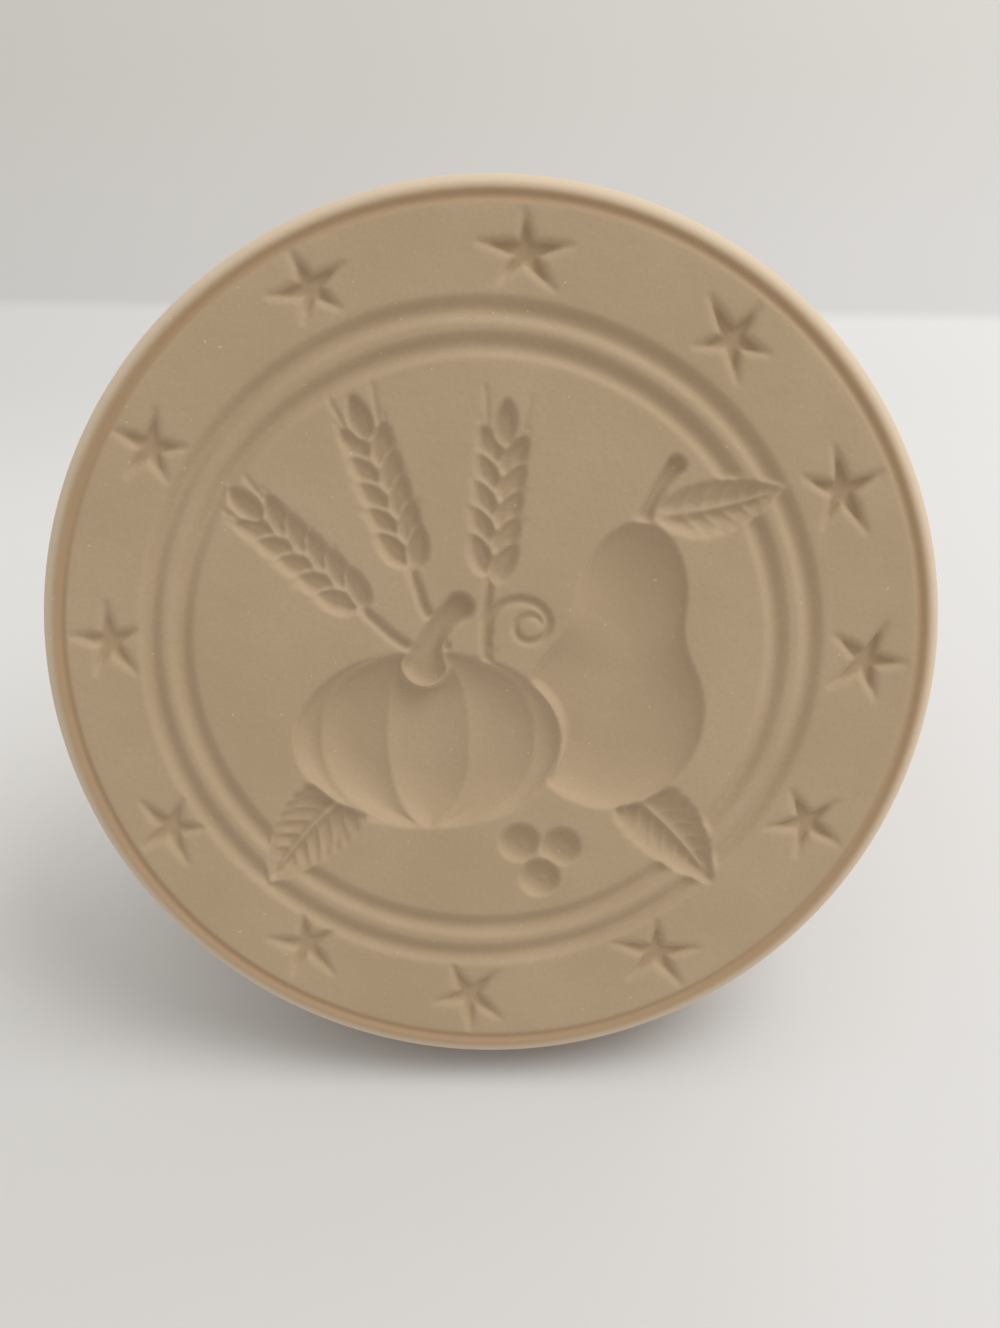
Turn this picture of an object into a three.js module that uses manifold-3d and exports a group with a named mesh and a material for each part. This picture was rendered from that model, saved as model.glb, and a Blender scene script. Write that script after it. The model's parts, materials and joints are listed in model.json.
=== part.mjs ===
// A cookie stamp: a fired clay disc with sunk ornament, glued by a dowel to a turned wooden knob.
// Millimetres, +Z up. The stamp leans back on its rim and its knob, as when it is put down,
// with the stamping face towards -Y. The origin is the middle of the bottom of its box.

import * as THREE from "three";
import { mergeVertices, toCreasedNormals } from "three/addons/utils/BufferGeometryUtils.js";
import Module from "manifold-3d";

const wasm = await Module();
wasm.setup();

// Head: the disc, seen from its face backwards. Depths are measured from the face plane.
const discRadius = 36.3;
const discThickness = 9.2;
const edgeWidth = 1.7;
const lipWidth = 1.25;
const lipDepth = 1.1;
const widestDepth = 5;
const backEdgeWidth = 2.8;
const bossRadius = 12;
const bossHeight = 4.5;
const bossFillet = 1.8;
const bossEdge = 0.7;
const socketRadius = 5;
const socketDepth = 8.5;

// Ring grooves in the face: two round-bottomed ones side by side, cut a little to one side of the
// disc's middle, and a narrow, shallow one at the edge.
const fieldRadius = 22.65;
const ringWidth = 2.1;
const ringDepth = 0.6;
const ringRidge = 0.5;
const ringMiddle = { right: -0.9, up: 0 };
const edgeRingWidth = 0.9;
const edgeRingDepth = 0.2;

// Stars: a band of hand-cut five-pointed stars, each with its own bearing, turn and size.
const starDepth = 0.75;
const starWaist = 0.36;
const stars = [
  { bearing: 85.0, turn: -4.2, reach: 3.05 },
  { bearing: 52.9, turn: 33.2, reach: 2.95 },
  { bearing: 24.8, turn: 5.0, reach: 3.2 },
  { bearing: -1.5, turn: -21.0, reach: 3.1 },
  { bearing: -29.3, turn: 22.4, reach: 2.95 },
  { bearing: -62.4, turn: -4.6, reach: 3.3 },
  { bearing: -93.8, turn: 27.6, reach: 3.0 },
  { bearing: -121.9, turn: 8.6, reach: 2.95 },
  { bearing: -150.8, turn: -21.2, reach: 2.8 },
  { bearing: 178.3, turn: 4.4, reach: 2.75 },
  { bearing: 148.3, turn: -13.6, reach: 2.65 },
  { bearing: 115.8, turn: 25.2, reach: 2.65 },
];

// Picture: sunk dishes and pits. right and up place each on the face, long and wide are its half
// sizes, and turn is the angle of its long way from the right, anticlockwise.
const pumpkin = { right: -5.2, up: -7.4, long: 7.3, wide: 10.8, depth: 1.6 };
const pumpkinLobes = 5;
const lobe = { overlap: 0.66, leastLong: 0.35, leastDepth: 0.4, slant: 12 };
const dishRise = 0.2;
const pitStep = { inset: 0.8, share: 0.6 };
const pumpkinStem = { right: -4.2, up: 1.3, long: 2.6, wide: 1.15, depth: 0.9, turn: 66 };
const pear = [
  { right: 9.7, up: -5.4, long: 7.7, wide: 7.3, depth: 1.6, turn: 80 },
  { right: 10.4, up: -0.6, long: 7.4, wide: 5.6, depth: 1.6, turn: 82 },
  { right: 11.0, up: 3.6, long: 6.6, wide: 4.3, depth: 1.5, turn: 83 },
];
const pearStalk = { right: 12.7, up: 12.1, long: 3.1, wide: 0.6, depth: 0.7, turn: 62 };
const leafPoint = 1.6;
const leaves = [
  { right: 17.6, up: 11.4, long: 5.0, wide: 2.1, depth: 0.95, turn: 12 },
  { right: -14.6, up: -14.5, long: 6.4, wide: 2.9, depth: 1.15, turn: 226 },
  { right: 14.4, up: -14.9, long: 6.2, wide: 2.8, depth: 1.15, turn: -46 },
];
const berryRadius = 1.6;
const berryDepth = 0.9;
const berries = [
  { right: 2.2, up: -16.2 },
  { right: 5.6, up: -16.6 },
  { right: 3.9, up: -19.3 },
];
const ears = [
  { right: -8.6, up: 2.0, turn: 137 },
  { right: -5.6, up: 4.6, turn: 108 },
  { right: -0.4, up: 3.6, turn: 84 },
];
const earStem = { long: 3.4, wide: 0.45, depth: 0.5 };
const earPairs = 5;
const kernel = { long: 1.75, wide: 0.9, depth: 0.85 };
const kernelSpread = 24;
const kernelPitch = 2.05;
const kernelOffset = 0.98;
const kernelStart = 0.25;
const kernelStagger = 0.12;
const tipStart = 0.35;

// Knob: radii along the handle, measured from its foot.
const knobLength = 44;
const footRadius = 11.4;
const footBead = 12.1;
const footHeight = 5.2;
const neckRadius = 9.4;
const waistRadius = 7.6;
const waistHeight = 15;
const gripRadius = 15.5;
const gripHeight = 33;
const footPull = { out: 0.4, low: 0.6, high: 1.4 };
const footLip = { out: 0.9, down: 0.7 };
const neckPull = { inwards: 1.2, up: 2 };
const waistPull = { below: 6, above: 8 };
const gripPull = { below: 10, above: 6, inwards: 6 };

// Joint between head and knob.
const fitGap = 0.3;
const dowelRadius = 4;
const dowelLength = 22;
const dowelChamfer = 0.7;
const fluteCount = 12;
const fluteDepth = 0.25;
const drillAirGap = 1;
const drillTipShare = 0.3;
const bedThickness = 0.5;
const glueFloor = 0.8;
const glueBead = 0.45;
const brimInset = 0.2;

// Fineness of the round shapes.
const roundSteps = 72;
const grooveSteps = 5;
const outlineSteps = 7;
const dishSides = 20;
const leafSteps = 7;
const kernelSteps = 5;
const creaseAngle = Math.PI / 7;

const clay = new THREE.MeshStandardMaterial({ color: 0xb09a7e, roughness: 0.95, metalness: 0 });
const beech = new THREE.MeshStandardMaterial({ color: 0xc79a66, roughness: 0.55, metalness: 0 });
const dowelWood = new THREE.MeshStandardMaterial({ color: 0xd2b184, roughness: 0.75, metalness: 0 });
const epoxy = new THREE.MeshStandardMaterial({ color: 0xd9c58f, roughness: 0.3, metalness: 0 });

// Radii of what lies on the face, from the middle outwards and from the edge inwards.
const innerRing = fieldRadius + ringWidth / 2;
const outerRing = innerRing + ringWidth + ringRidge;
const crestRadius = discRadius - edgeWidth;
const edgeRing = crestRadius - edgeRingWidth / 2;
const starBandRadius = (outerRing + edgeRing) / 2;

// Places along the stamp's own axis, from the face plane back to the knob's end.
const bossTop = discThickness + bossHeight;
const socketFloor = bossTop - socketDepth;
const footPlane = bossTop + fitGap + bedThickness + fitGap;
const dowelStart = socketFloor + fitGap + glueFloor + fitGap;
const dowelEnd = dowelStart + dowelLength;
const holeDepth = dowelEnd + drillAirGap - footPlane;

const radians = THREE.MathUtils.degToRad;

// A solid turned from a profile of [radius, place along the axis] points, with a flat facing down.
function turned(profile) {
  const points = profile.map(([radius, along]) => new THREE.Vector2(radius, along));
  const geometry = new THREE.LatheGeometry(points, roundSteps, Math.PI / roundSteps);
  geometry.rotateX(Math.PI / 2);
  return closed(geometry);
}

// The same geometry with shared corners merged and slivers on the axis gone.
function closed(geometry) {
  return toGeometry(toSolid(geometry));
}

function toSolid(geometry) {
  const bare = geometry.clone();
  bare.deleteAttribute("normal");
  bare.deleteAttribute("uv");
  const merged = mergeVertices(bare, 1e-4);
  const mesh = new wasm.Mesh({
    numProp: 3,
    vertProperties: new Float32Array(merged.attributes.position.array),
    triVerts: new Uint32Array(merged.index.array),
  });
  return new wasm.Manifold(mesh);
}

function toGeometry(solid) {
  const mesh = solid.getMesh();
  const geometry = new THREE.BufferGeometry();
  geometry.setAttribute("position", new THREE.BufferAttribute(mesh.vertProperties, 3));
  geometry.setIndex(new THREE.BufferAttribute(mesh.triVerts, 1));
  return toCreasedNormals(geometry, creaseAngle);
}

// Points of an elliptical quarter or other arc, from one angle to another, in degrees.
function arc(centreRadius, centreAlong, radialSize, alongSize, from, to, steps) {
  const points = [];
  for (let i = 0; i <= steps; i++) {
    const angle = radians(from + ((to - from) * i) / steps);
    points.push([centreRadius + radialSize * Math.cos(angle), centreAlong + alongSize * Math.sin(angle)]);
  }
  return points;
}

// A ring groove's section, from its inner lip to its outer lip, rounded at the bottom and the lips.
function groove(radius, width, depth) {
  const points = [];
  for (let i = 0; i <= grooveSteps; i++) {
    const share = i / grooveSteps;
    const sunk = (depth * (1 - Math.cos(2 * Math.PI * share))) / 2;
    points.push([radius + width * (share - 0.5), sunk]);
  }
  return points;
}

function headProfile() {
  return [
    [0, 0],
    ...groove(edgeRing, edgeRingWidth, edgeRingDepth),
    ...arc(crestRadius, lipDepth, lipWidth, lipDepth, -90, 0, 5),
    ...arc(
      discRadius - backEdgeWidth,
      widestDepth,
      backEdgeWidth,
      discThickness - widestDepth,
      0,
      90,
      6,
    ),
    ...arc(bossRadius + bossFillet, discThickness + bossFillet, bossFillet, bossFillet, 270, 180, 4),
    ...arc(bossRadius - bossEdge, bossTop - bossEdge, bossEdge, bossEdge, 0, 90, 3),
    [socketRadius, bossTop],
    [socketRadius, socketFloor],
    [0, socketFloor],
  ];
}

// A ring groove that is cut round its own middle.
function ringCut(radius) {
  const section = groove(radius, ringWidth, ringDepth);
  const inner = [radius - ringWidth / 2, -ringDepth];
  const outer = [radius + ringWidth / 2, -ringDepth];
  const ring = turned([inner, outer, ...section.reverse(), inner]);
  ring.translate(ringMiddle.right, -ringMiddle.up, 0);
  return toSolid(ring);
}

// A dish is the cap that an ellipsoid sinks into the face: long and wide at the face, and deep in
// its middle. The ellipsoid's centre is a little outside the face, so its walls lean out.
function dish({ right, up, long, wide, depth, turn = 0 }, sides = dishSides) {
  const rise = dishRise * depth;
  const spread = 1 / Math.sqrt(1 - (rise / (rise + depth)) ** 2);
  const ball = new THREE.SphereGeometry(1, sides, Math.max(4, sides / 2));
  ball.rotateX(Math.PI / 2);
  ball.scale(long * spread, wide * spread, rise + depth);
  ball.rotateZ(-radians(turn));
  ball.translate(right, -up, -rise);
  return toSolid(ball);
}

// A pit has any outline of [right, up] points round its own middle: a steep wall runs down to a
// step, and from there the floor slopes to one deepest point.
function pit(outline, depth, right, up) {
  const wall = pitStep.share * depth;
  const levels = [
    { size: 2 - pitStep.inset, sunk: -wall },
    { size: pitStep.inset, sunk: wall },
  ];
  const [mouth, step] = levels.map(({ size, sunk }) =>
    outline.map(([x, y]) => new THREE.Vector3(x * size, -y * size, sunk)),
  );
  const deepest = new THREE.Vector3(0, 0, depth);
  const outside = new THREE.Vector3(0, 0, -wall);
  const triangles = outline.flatMap((_, i) => {
    const j = (i + 1) % outline.length;
    return [
      mouth[i], step[i], mouth[j],
      mouth[j], step[i], step[j],
      step[i], deepest, step[j],
      mouth[j], outside, mouth[i],
    ];
  });
  const geometry = new THREE.BufferGeometry().setFromPoints(triangles);
  geometry.translate(right, -up, 0);
  return toSolid(geometry);
}

// A point at a distance along and aside from a place, on a line that is turned from the right.
function along({ right, up, turn }, distance, aside) {
  const angle = radians(turn);
  return {
    right: right + distance * Math.cos(angle) - aside * Math.sin(angle),
    up: up + distance * Math.sin(angle) + aside * Math.cos(angle),
  };
}

// Each arm of a star is a V that fades to its tip.
function star({ bearing, turn, reach }) {
  const outline = [];
  for (let i = 0; i < 10; i++) {
    const angle = radians(90 + turn + 36 * i);
    const radius = reach * (i % 2 ? starWaist : 1);
    outline.push([radius * Math.cos(angle), radius * Math.sin(angle)]);
  }
  const place = along({ right: 0, up: 0, turn: bearing }, starBandRadius, 0);
  return pit(outline, starDepth, place.right, place.up);
}

// A leaf is pointed at both ends.
function leaf({ right, up, long, wide, depth, turn }, steps = leafSteps) {
  const middle = { right: 0, up: 0, turn };
  const outline = [];
  for (let i = 0; i < 2 * steps; i++) {
    const angle = (Math.PI * i) / steps;
    const aside = wide * Math.sign(Math.sin(angle)) * Math.abs(Math.sin(angle)) ** leafPoint;
    const corner = along(middle, long * Math.cos(angle), aside);
    outline.push([corner.right, corner.up]);
  }
  return pit(outline, depth, right, up);
}

// The pumpkin's lobes: upright dishes side by side, as wide as equal turns of a round fruit look.
function pumpkinDishes() {
  const dishes = [];
  for (let i = 0; i < pumpkinLobes; i++) {
    const edges = [i, i + 1].map((j) => Math.sin(Math.PI * (j / pumpkinLobes - 0.5)));
    const side = (edges[0] + edges[1]) / 2;
    const fall = Math.sqrt(1 - side * side);
    dishes.push({
      right: pumpkin.right + side * pumpkin.wide,
      up: pumpkin.up,
      long: pumpkin.long * THREE.MathUtils.lerp(lobe.leastLong, 1, fall),
      wide: lobe.overlap * (edges[1] - edges[0]) * pumpkin.wide,
      depth: pumpkin.depth * THREE.MathUtils.lerp(lobe.leastDepth, 1, fall),
      turn: 90 + lobe.slant * side,
    });
  }
  return dishes;
}

// A cereal ear: a thin stem, pairs of pointed kernels up its sides, and one at its tip.
function earCuts(ear) {
  const cuts = [dish({ ...ear, ...earStem }, dishSides / 2)];
  for (let i = 0; i < earPairs; i++) {
    for (const side of [-1, 1]) {
      const distance = earStem.long + kernelPitch * (i + kernelStart + kernelStagger * side);
      const place = along(ear, distance, side * kernelOffset);
      const turn = ear.turn + side * kernelSpread;
      cuts.push(leaf({ ...kernel, ...place, turn }, kernelSteps));
    }
  }
  const tip = along(ear, earStem.long + kernelPitch * (earPairs + tipStart), 0);
  cuts.push(leaf({ ...kernel, ...tip, turn: ear.turn }, kernelSteps));
  return cuts;
}

function makeHead() {
  const berry = { long: berryRadius, wide: berryRadius, depth: berryDepth };
  const cuts = [
    ringCut(innerRing),
    ringCut(outerRing),
    ...pumpkinDishes().map((one) => dish(one)),
    dish(pumpkinStem, dishSides / 2),
    ...pear.map((bulge) => dish(bulge)),
    dish(pearStalk, dishSides / 2),
    ...leaves.map((one) => leaf(one)),
    ...berries.map((place) => dish({ ...berry, ...place }, dishSides / 2)),
    ...ears.flatMap((ear) => earCuts(ear)),
    ...stars.map((one) => star(one)),
  ];
  const blank = toSolid(turned(headProfile()));
  return toGeometry(cuts.reduce((head, cut) => head.subtract(cut), blank));
}

// The knob's outline from its foot to its domed end, as smooth runs between the named places.
function knobOutline() {
  const path = new THREE.Path();
  path.moveTo(footRadius, 0);
  path.bezierCurveTo(
    footBead + footPull.out,
    footPull.low,
    footBead + footPull.out,
    footHeight - footPull.high,
    neckRadius + footLip.out,
    footHeight - footLip.down,
  );
  path.lineTo(neckRadius, footHeight);
  path.bezierCurveTo(
    neckRadius - neckPull.inwards,
    footHeight + neckPull.up,
    waistRadius,
    waistHeight - waistPull.below,
    waistRadius,
    waistHeight,
  );
  path.bezierCurveTo(
    waistRadius,
    waistHeight + waistPull.above,
    gripRadius,
    gripHeight - gripPull.below,
    gripRadius,
    gripHeight,
  );
  path.bezierCurveTo(
    gripRadius,
    gripHeight + gripPull.above,
    gripRadius - gripPull.inwards,
    knobLength,
    0,
    knobLength,
  );
  return path.getPoints(outlineSteps).map((point) => [point.x, point.y]);
}

function makeKnob() {
  const holeRadius = dowelRadius + fitGap;
  const drillTip = drillTipShare * holeRadius;
  return turned([
    [0, footPlane + holeDepth + drillTip],
    [holeRadius, footPlane + holeDepth],
    [holeRadius, footPlane],
    ...knobOutline().map(([radius, along]) => [radius, footPlane + along]),
  ]);
}

// A straight dowel with flutes cut along it and chamfered ends.
function makeDowel() {
  const outline = new THREE.Shape();
  const steps = fluteCount * 4;
  for (let i = 0; i < steps; i++) {
    const angle = (2 * Math.PI * i) / steps;
    const radius = dowelRadius - dowelChamfer - (i % 4 === 0 ? fluteDepth : 0);
    const corner = [radius * Math.cos(angle), radius * Math.sin(angle)];
    i ? outline.lineTo(...corner) : outline.moveTo(...corner);
  }
  const geometry = new THREE.ExtrudeGeometry(outline, {
    depth: dowelLength - 2 * dowelChamfer,
    bevelEnabled: true,
    bevelThickness: dowelChamfer,
    bevelSize: dowelChamfer,
    bevelSegments: 1,
    curveSegments: 1,
  });
  geometry.translate(0, 0, dowelStart + dowelChamfer);
  return closed(geometry);
}

// The adhesive: a cup round the dowel's end, with a brim between boss and foot and a bead outside.
function makeBond() {
  const cupRadius = socketRadius - fitGap;
  const boreRadius = dowelRadius + fitGap;
  const cupFloor = socketFloor + fitGap;
  const brimLow = bossTop + fitGap;
  const brimHigh = brimLow + bedThickness;
  const brimRadius = footRadius - brimInset;
  return turned([
    [0, cupFloor],
    [cupRadius, cupFloor],
    [cupRadius, brimLow],
    [brimRadius, brimLow],
    ...arc(brimRadius, (brimLow + brimHigh) / 2, glueBead, bedThickness / 2, -60, 60, 4),
    [brimRadius, brimHigh],
    [boreRadius, brimHigh],
    [boreRadius, cupFloor + glueFloor],
    [0, cupFloor + glueFloor],
  ]);
}

// How far a turned piece reaches down, below the middle of the face, when the axis dips by lean.
function reachDown(profile, lean) {
  const flat = Math.cos(Math.PI / roundSteps);
  const reaches = profile.map(([radius, along]) => radius * flat * Math.cos(lean) + along * Math.sin(lean));
  return Math.max(...reaches);
}

// The lean at which the rim and the knob both touch a level surface, found by halving.
function restingLean() {
  const knob = knobOutline().map(([radius, along]) => [radius, footPlane + along]);
  let low = 0;
  let high = Math.PI / 2;
  for (let i = 0; i < 40; i++) {
    const lean = (low + high) / 2;
    if (reachDown(knob, lean) > reachDown(headProfile(), lean)) {
      high = lean;
    } else {
      low = lean;
    }
  }
  return low;
}

function piece(name, geometry, material) {
  const mesh = new THREE.Mesh(geometry, material);
  mesh.name = name;
  return mesh;
}

const leaning = new THREE.Group();
leaning.add(piece("stamp_head", makeHead(), clay));
leaning.add(piece("handle_knob", makeKnob(), beech));
leaning.add(piece("dowel_pin", makeDowel(), dowelWood));
leaning.add(piece("epoxy_bond", makeBond(), epoxy));
leaning.rotation.x = -(Math.PI / 2 + restingLean());

const stamp = new THREE.Group();
stamp.add(leaning);
const box = new THREE.Box3().setFromObject(stamp, true);
const middle = box.getCenter(new THREE.Vector3());
leaning.position.set(-middle.x, -middle.y, -box.min.z);

export default stamp;
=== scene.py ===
import json
import math

import bmesh
import bpy
import numpy as np
from mathutils import Matrix, Vector


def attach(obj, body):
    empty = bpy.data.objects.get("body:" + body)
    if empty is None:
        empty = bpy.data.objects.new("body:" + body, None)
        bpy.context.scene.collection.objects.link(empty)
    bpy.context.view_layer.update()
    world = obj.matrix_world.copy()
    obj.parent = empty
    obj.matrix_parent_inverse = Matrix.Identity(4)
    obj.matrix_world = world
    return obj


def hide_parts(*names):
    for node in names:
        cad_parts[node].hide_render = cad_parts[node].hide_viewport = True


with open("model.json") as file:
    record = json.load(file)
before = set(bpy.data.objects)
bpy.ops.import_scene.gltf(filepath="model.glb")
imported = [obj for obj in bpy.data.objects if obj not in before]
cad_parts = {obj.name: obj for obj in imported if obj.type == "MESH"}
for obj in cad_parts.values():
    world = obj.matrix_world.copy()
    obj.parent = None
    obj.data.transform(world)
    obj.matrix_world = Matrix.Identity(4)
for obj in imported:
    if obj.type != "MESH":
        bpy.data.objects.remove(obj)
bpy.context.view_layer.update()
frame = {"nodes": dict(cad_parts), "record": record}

# A cookie stamp leaning back on its rim and its wooden knob. Shapes are worked out in millimetres
# in the stamp's own frame: u to the right and v up across the stamping face, and z out of it.

MM = 0.001
# Keeps a division clear of zero.
TINY = 1e-9

# Head, in millimetres, as in the construction.
DISC_RADIUS = 36.3
DISC_THICKNESS = 9.2
EDGE_WIDTH = 1.7
LIP_WIDTH = 1.25
LIP_DEPTH = 1.1
LIP_FULLNESS = 1.8
WIDEST_DEPTH = 5
BACK_EDGE_WIDTH = 2.8
BOSS_RADIUS = 12
BOSS_HEIGHT = 4.5
BOSS_FILLET = 1.8
BOSS_EDGE = 0.7
SOCKET_RADIUS = 5
SOCKET_DEPTH = 8.5
SOCKET_CHAMFER = 0.3

# Ring grooves, from the middle outwards and from the edge inwards.
FIELD_RADIUS = 22.65
RING_WIDTH = 2.1
RING_DEPTH = 0.6
RING_RIDGE = 0.5
EDGE_RING_WIDTH = 0.9
EDGE_RING_DEPTH = 0.2
INNER_RING = FIELD_RADIUS + RING_WIDTH / 2
OUTER_RING = INNER_RING + RING_WIDTH + RING_RIDGE
CREST_RADIUS = DISC_RADIUS - EDGE_WIDTH
EDGE_RING = CREST_RADIUS - EDGE_RING_WIDTH / 2
STAR_BAND = (OUTER_RING + EDGE_RING) / 2
# The two inner rings were cut a little to one side of the disc's middle.
RING_MIDDLE = (-0.9, 0)
# A flare below 1 makes a groove's shoulders fuller. Wobbles are in millimetres, waves in a turn.
RING_FLARE = 0.9
EDGE_RING_FLARE = 0.8
SLOW_WOBBLE = 0.05
SLOW_WAVES = 3
QUICK_WOBBLE = 0.03
QUICK_WAVES = 7

# Stars: deepest at one bearing of the band, and shallower by twice a share opposite it.
STAR_DEPTH = 0.75
STAR_DEEPEST = 35
STAR_SHALLOWER = 0.14
STAR_ARM = 0.8
STAR_TAPER = 0.92
STAR_OVERRUN = 0.1
STAR_HUB = 0.2
STAR_SHOULDER = 0.55
STAR_ROUNDING = 0.2
STAR_WALL = 0.36
# How strongly an arm bows to one side, and how fast that changes from arm to arm.
STAR_BOW = 0.03
STAR_BOW_PACE = 2.9
# Each star's middle, then the angle and reach of each arm.
STARS = [
    (2.6, 30.2, [(88, 2.7), (11, 3.3), (-55, 3.2), (-137, 2.6), (162, 3.4)]),
    (18.2, 24.0, [(126, 3.4), (47, 2.8), (-24, 2.8), (-87, 3.0), (-166, 2.7)]),
    (27.2, 12.6, [(99, 3.3), (25, 3.2), (-54, 3.6), (-120, 2.9), (165, 3.1)]),
    (29.9, -0.8, [(136, 3.1), (70, 3.1), (-2, 3.0), (-76, 3.1), (-143, 3.3)]),
    (26.0, -14.6, [(114, 2.9), (39, 2.8), (-30, 3.1), (-103, 2.8), (-178, 3.1)]),
    (13.8, -26.3, [(86, 2.8), (11, 3.4), (-51, 3.5), (-139, 3.0), (160, 3.6)]),
    (-2.0, -30.2, [(122, 3.1), (48, 3.1), (-34, 3.1), (-94, 2.9), (-174, 2.8)]),
    (-15.8, -25.4, [(98, 3.0), (28, 2.8), (-45, 3.2), (-120, 2.7), (172, 3.0)]),
    (-26.6, -14.8, [(139, 3.0), (68, 2.6), (-1, 2.6), (-74, 3.1), (-148, 2.6)]),
    (-30.4, 0.9, [(92, 3.0), (24, 2.4), (-52, 3.0), (-118, 2.6), (166, 2.8)]),
    (-26.1, 16.1, [(77, 2.8), (3, 2.6), (-70, 2.6), (-137, 2.6), (149, 2.7)]),
    (-13.4, 27.7, [(114, 2.7), (37, 2.9), (-30, 2.4), (-99, 2.3), (-166, 3.0)]),
]

# Picture: each form's place on the face, half sizes, depth and turn, as in the construction.
PUMPKIN = {"right": -5.2, "up": -7.4, "tall": 7.3, "wide": 10.8, "depth": 1.75}
PUMPKIN_LOBES = 5
PUMPKIN_STEM = [(-5.4, -1.2), (-5.2, 1.6), (-2.6, 3.6)]
PUMPKIN_STEM_RADII = [1.75, 1.35, 1.10, 0.98, 0.92, 0.90, 0.92, 1.00, 1.15]
PUMPKIN_STEM_DEPTH = 1.05
PEAR_BODY = {"right": 9.7, "up": -5.4, "long": 7.7, "wide": 7.3, "turn": 80}
PEAR_NECK = {"right": 11.0, "up": 3.6, "long": 6.6, "wide": 4.3, "turn": 83}
PEAR_DEPTH = 1.7
PEAR_STALK = [(11.6, 9.2), (12.0, 12.0), (14.2, 14.6)]
PEAR_STALK_RADII = [0.75, 0.70, 0.62, 0.56, 0.52, 0.52, 0.56, 0.66, 0.78]
PEAR_STALK_DEPTH = 0.85
# Each leaf: right, up, half length, half width, depth, turn and bend.
LEAVES = [
    (17.6, 11.4, 5.0, 2.1, 0.95, 12, 0.016),
    (-14.6, -14.5, 6.4, 2.9, 1.15, 226, 0.016),
    (14.4, -14.9, 6.2, 2.8, 1.15, -46, -0.016),
]
TENDRIL_PLACE = (2.2, 2.2)
BERRY_RADIUS = 1.6
BERRY_DEPTH = 1.0
BERRIES = [(2.2, -16.2), (5.6, -16.6), (3.9, -19.3)]
# Each ear: right, up and turn.
EARS = [(-8.6, 2.0, 137), (-5.6, 4.6, 108), (-0.4, 3.6, 84)]
EAR_STEM = 3.4
EAR_PAIRS = 5
KERNEL = {"long": 1.75, "wide": 0.86, "depth": 0.85}
KERNEL_SPREAD = 24
KERNEL_PITCH = 2.05
KERNEL_OFFSET = 0.98

# Knob and joint, in millimetres, as in the construction.
KNOB_LENGTH = 44
FOOT_RADIUS = 11.4
FOOT_BEAD = 12.1
FOOT_HEIGHT = 5.2
NECK_RADIUS = 9.4
WAIST_RADIUS = 7.6
WAIST_HEIGHT = 15
GRIP_RADIUS = 15.5
GRIP_HEIGHT = 33
# Where the curves of the knob's outline are pulled to, from the places that they join.
FOOT_PULL = {"out": 0.4, "low": 0.6, "high": 1.4}
FOOT_LIP = {"out": 0.9, "down": 0.7}
NECK_PULL = {"inwards": 1.2, "up": 2}
WAIST_PULL = {"below": 6, "above": 8}
GRIP_PULL = {"below": 10, "above": 6, "inwards": 6}
FIT_GAP = 0.3
DOWEL_RADIUS = 4
DOWEL_LENGTH = 22
DRILL_AIR_GAP = 1
DRILL_TIP_SHARE = 0.3
BED_THICKNESS = 0.5
GLUE_FLOOR = 0.8
GLUE_BEAD = 0.45
BRIM_INSET = 0.2
BRIM_FLAT = 1
SEAM = 0.02
BOSS_TOP = DISC_THICKNESS + BOSS_HEIGHT
SOCKET_FLOOR = BOSS_TOP - SOCKET_DEPTH
FOOT_PLANE = BOSS_TOP + FIT_GAP + BED_THICKNESS + FIT_GAP
DOWEL_END = SOCKET_FLOOR + FIT_GAP + GLUE_FLOOR + FIT_GAP + DOWEL_LENGTH
HOLE_DEPTH = DOWEL_END + DRILL_AIR_GAP - FOOT_PLANE

# The stamp's own frame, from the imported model's mount on the star band.
MOUNT_RADIUS = 30.4
mount = next(m for m in frame["record"]["mounts"] if m["name"] == "stamping_face")
OUT = Vector(mount["axis"]).normalized()
RIGHT = Vector((1, 0, 0))
UP = OUT.cross(RIGHT)
mount_right = mount["pos_m"][0]
mount_up = math.sqrt((MOUNT_RADIUS * MM) ** 2 - mount_right ** 2)
FACE = Vector(mount["pos_m"]) - RIGHT * mount_right - UP * mount_up
STAMP = Matrix.Translation(FACE) @ Matrix((RIGHT, UP, OUT)).transposed().to_4x4()


def add_mesh(name, points, faces, material):
    """A smooth mesh from points in the stamp's frame, in millimetres, standing in the row frame."""
    mesh = bpy.data.meshes.new(name)
    mesh.from_pydata([tuple(p) for p in points], [], faces)
    mesh.transform(STAMP @ Matrix.Scale(MM, 4))
    work = bmesh.new()
    work.from_mesh(mesh)
    bmesh.ops.recalc_face_normals(work, faces=work.faces)
    work.to_mesh(mesh)
    work.free()
    mesh.shade_smooth()
    mesh.materials.append(material)
    obj = bpy.data.objects.new(name, mesh)
    bpy.context.scene.collection.objects.link(obj)
    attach(obj, "root")
    return obj


# The sunk face, as a map of depths

MAP_STEP = 0.08
MAP_HALF = 36.0
# Keeps a point on the map's last line within its last cell.
MAP_NUDGE = 0.001
SOFTENING = 7
CRISP_SOFTENING = 3


def ramp(low, high, x):
    """From 0 at low to 1 at high, smoothly, and held beyond them."""
    t = np.clip((x - low) / (high - low), 0, 1)
    return t * t * (3 - 2 * t)


def sunk(inside, depth, run):
    """A bowl's depth: steep at its outline, and level once run millimetres inside."""
    t = np.clip(inside / run, 0, 1)
    return depth * np.sqrt(1 - (1 - t) ** 2)


def turned_to(u, v, right, up, turn):
    """u and v measured from a place, along and across a line turned from the right."""
    a = math.radians(turn)
    du = u - right
    dv = v - up
    return du * math.cos(a) + dv * math.sin(a), dv * math.cos(a) - du * math.sin(a)


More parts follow.
